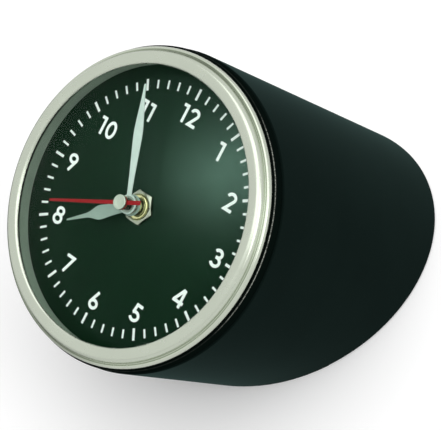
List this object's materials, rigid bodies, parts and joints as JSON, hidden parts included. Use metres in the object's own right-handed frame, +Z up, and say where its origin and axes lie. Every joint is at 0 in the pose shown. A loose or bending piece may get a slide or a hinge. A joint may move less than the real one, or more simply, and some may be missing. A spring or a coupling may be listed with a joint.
{
  "type": "desk clock",
  "caption": "Round quartz desk clock: a slant-cut tube leans its dial back under a domed lens in a chrome bezel, with hour, minute and second hands and a setting knob behind.",
  "frame": {"origin": "centre of the overall box at its base, where the foot pads rest on the table", "axes": "+Z up from the table, +X towards the dial's 3 o'clock side, -Y towards the front, where the dial's low 6 o'clock edge is. The dial's normal is (0, -0.5, 0.866)."},
  "size_m": [0.11, 0.1592, 0.1135],
  "materials": {
    "housing_black": "satin",
    "case_black": "semi-gloss",
    "chrome": "polished",
    "lens_clear": "clear",
    "rubber_black": "matte",
    "ring_grey": "satin",
    "dial_green": "satin",
    "nickel": "satin",
    "brass": "turned",
    "hand_pale": "matte",
    "hand_red": "matte",
    "movement_black": "matte",
    "wheel_white": "satin",
    "wheel_amber": "satin",
    "steel": "satin",
    "copper": "enamelled wire",
    "board_green": "solder mask",
    "battery_wrap": "satin"
  },
  "bodies": {
    "case": {"housing_shell": "housing_black", "foot_pad_1": "rubber_black", "foot_pad_2": "rubber_black", "foot_pad_3": "rubber_black", "foot_pad_4": "rubber_black", "insert_case": "case_black", "bezel_ring": "chrome", "lens_glass": "lens_clear", "lens_gasket": "rubber_black", "dial_ring": "ring_grey", "dial_plate": "dial_green", "hex_nut": "nickel", "threaded_bush": "brass", "rubber_washer": "rubber_black", "movement_case": "movement_black", "movement_back_cover": "movement_black", "train_plate": "wheel_white", "battery_cell": "battery_wrap", "battery_contact_plus": "nickel", "battery_contact_minus": "nickel", "circuit_board": "board_green", "quartz_crystal": "nickel", "stator_plate": "steel", "coil_core": "steel", "coil_bobbin": "wheel_white", "coil_winding": "copper"},
    "second_hand": {"second_wheel": "wheel_white", "second_hand": "hand_red", "second_hand_cap": "nickel"},
    "third_wheel": {"third_wheel": "wheel_white"},
    "intermediate_wheel": {"intermediate_wheel": "wheel_amber"},
    "rotor": {"rotor": "steel"},
    "centre_wheel": {"centre_wheel": "wheel_amber"},
    "minute_hand": {"cannon_pinion": "brass", "minute_hand": "hand_pale"},
    "minute_wheel": {"minute_wheel": "wheel_white"},
    "hour_hand": {"hour_wheel": "wheel_white", "hour_hand": "hand_pale"},
    "setting_knob": {"setting_knob": "movement_black"}
  },
  "joints": [
    {"name": "second_hand_spin", "type": "hinge", "parent": "case", "child": "second_hand", "pos_m": [0, -0.02993, 0.08044], "axis": [0, 0.5, -0.866], "continuous": true},
    {"name": "third_wheel_spin", "type": "hinge", "parent": "case", "child": "third_wheel", "pos_m": [0.00958, -0.02691, 0.08218], "axis": [0, 0.5, -0.866], "continuous": true},
    {"name": "intermediate_wheel_spin", "type": "hinge", "parent": "case", "child": "intermediate_wheel", "pos_m": [-0.00125, -0.02379, 0.08398], "axis": [0, 0.5, -0.866], "continuous": true},
    {"name": "rotor_spin", "type": "hinge", "parent": "case", "child": "rotor", "pos_m": [-0.00707, -0.02088, 0.08566], "axis": [0, 0.5, -0.866], "continuous": true},
    {"name": "centre_wheel_spin", "type": "hinge", "parent": "case", "child": "centre_wheel", "pos_m": [0, -0.02993, 0.08044], "axis": [0, 0.5, -0.866], "continuous": true},
    {"name": "minute_hand_spin", "type": "hinge", "parent": "case", "child": "minute_hand", "pos_m": [0, -0.02993, 0.08044], "axis": [0, 0.5, -0.866], "continuous": true},
    {"name": "minute_wheel_spin", "type": "hinge", "parent": "case", "child": "minute_wheel", "pos_m": [-0.00748, -0.02619, 0.0826], "axis": [0, 0.5, -0.866], "continuous": true},
    {"name": "hour_hand_spin", "type": "hinge", "parent": "case", "child": "hour_hand", "pos_m": [0, -0.02993, 0.08044], "axis": [0, 0.5, -0.866], "continuous": true},
    {"name": "setting_knob_spin", "type": "hinge", "parent": "case", "child": "setting_knob", "pos_m": [-0.01628, -0.02896, 0.08099], "axis": [0, 0.5, -0.866], "continuous": true}
  ],
  "couplings": [
    {"joint": "third_wheel_spin", "follows": "second_hand_spin", "ratio": -0.13333},
    {"joint": "centre_wheel_spin", "follows": "second_hand_spin", "ratio": 0.016667},
    {"joint": "intermediate_wheel_spin", "follows": "second_hand_spin", "ratio": -5},
    {"joint": "rotor_spin", "follows": "second_hand_spin", "ratio": 30},
    {"joint": "minute_wheel_spin", "follows": "minute_hand_spin", "ratio": -0.33333},
    {"joint": "hour_hand_spin", "follows": "minute_hand_spin", "ratio": 0.083333},
    {"joint": "setting_knob_spin", "follows": "minute_hand_spin", "ratio": 0.75}
  ]
}
